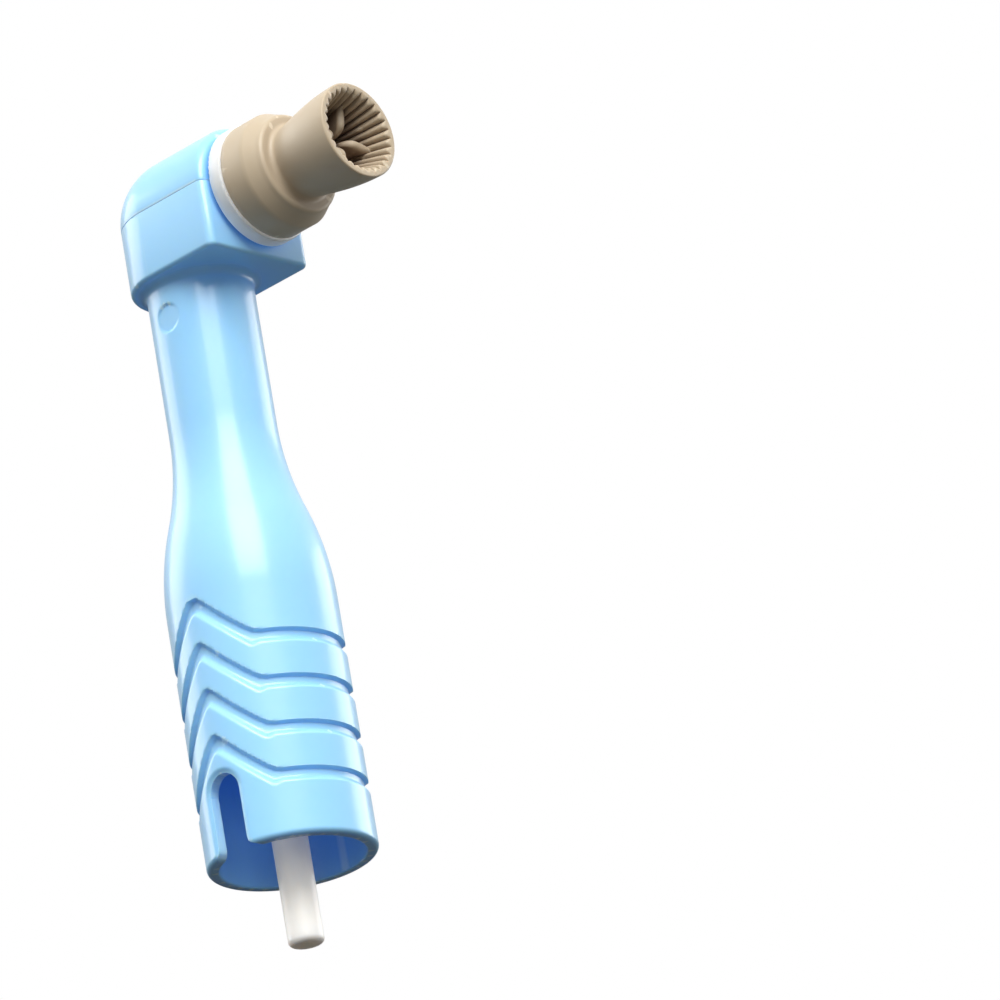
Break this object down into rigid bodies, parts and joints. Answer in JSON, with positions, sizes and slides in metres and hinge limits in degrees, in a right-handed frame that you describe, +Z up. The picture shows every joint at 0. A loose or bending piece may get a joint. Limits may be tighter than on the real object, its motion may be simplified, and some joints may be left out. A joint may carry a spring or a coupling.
{
  "type": "prophy angle",
  "caption": "Disposable dental prophy angle: grooved slip-on sleeve, slim neck and boxy head whose bevel gears turn a soft webbed polishing cup at a right angle.",
  "frame": {"origin": "centre of the sleeve's open mouth, where the handpiece nose enters", "axes": "+Z up the sleeve and neck to the head, +X out along the cup's axis, -Y the side with the locating slot"},
  "size_m": [0.0215, 0.011, 0.0547],
  "materials": {
    "blue_plastic": "glossy, slightly translucent light blue moulded plastic",
    "white_acetal": "milky white moulded acetal, satin",
    "tan_rubber": "soft matt tan rubber"
  },
  "bodies": {
    "housing": {"body": "blue_plastic", "head_cap": "blue_plastic"},
    "drive": {"drive_shaft": "white_acetal"},
    "driven": {"rotor": "white_acetal", "prophy_cup": "tan_rubber"}
  },
  "joints": [
    {"name": "drive_spin", "type": "hinge", "parent": "housing", "child": "drive", "pos_m": [0, 0, 0], "axis": [0, 0, 1], "continuous": true},
    {"name": "cup_spin", "type": "hinge", "parent": "housing", "child": "driven", "pos_m": [0, 0, 0.04466], "axis": [1, 0, 0], "continuous": true}
  ],
  "couplings": [
    {"joint": "cup_spin", "follows": "drive_spin", "ratio": 0.75}
  ]
}
